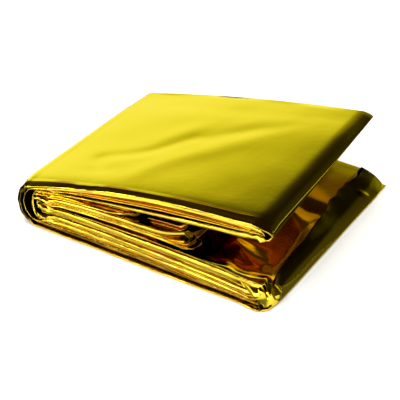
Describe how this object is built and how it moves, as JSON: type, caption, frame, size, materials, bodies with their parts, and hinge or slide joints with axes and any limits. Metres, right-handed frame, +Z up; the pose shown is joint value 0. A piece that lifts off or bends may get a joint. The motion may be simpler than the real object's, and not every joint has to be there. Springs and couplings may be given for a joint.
{
  "type": "folded emergency foil blanket",
  "caption": "Gold metallised-film emergency blanket folded back and forth into a pad that lies half open like a book, flat underneath.",
  "frame": {"origin": "under the middle of the pad's outline, on the face that it rests on", "axes": "+X from the folded spine to the open side, +Y from the front edge to the back edge, +Z up"},
  "size_m": [0.1328, 0.1162, 0.0404],
  "materials": {
    "gold_film": "mirror-bright gold metallised polyester film, satin on its outer face"
  },
  "bodies": {
    "root": {"foil_blanket": "gold_film"}
  },
  "joints": []
}
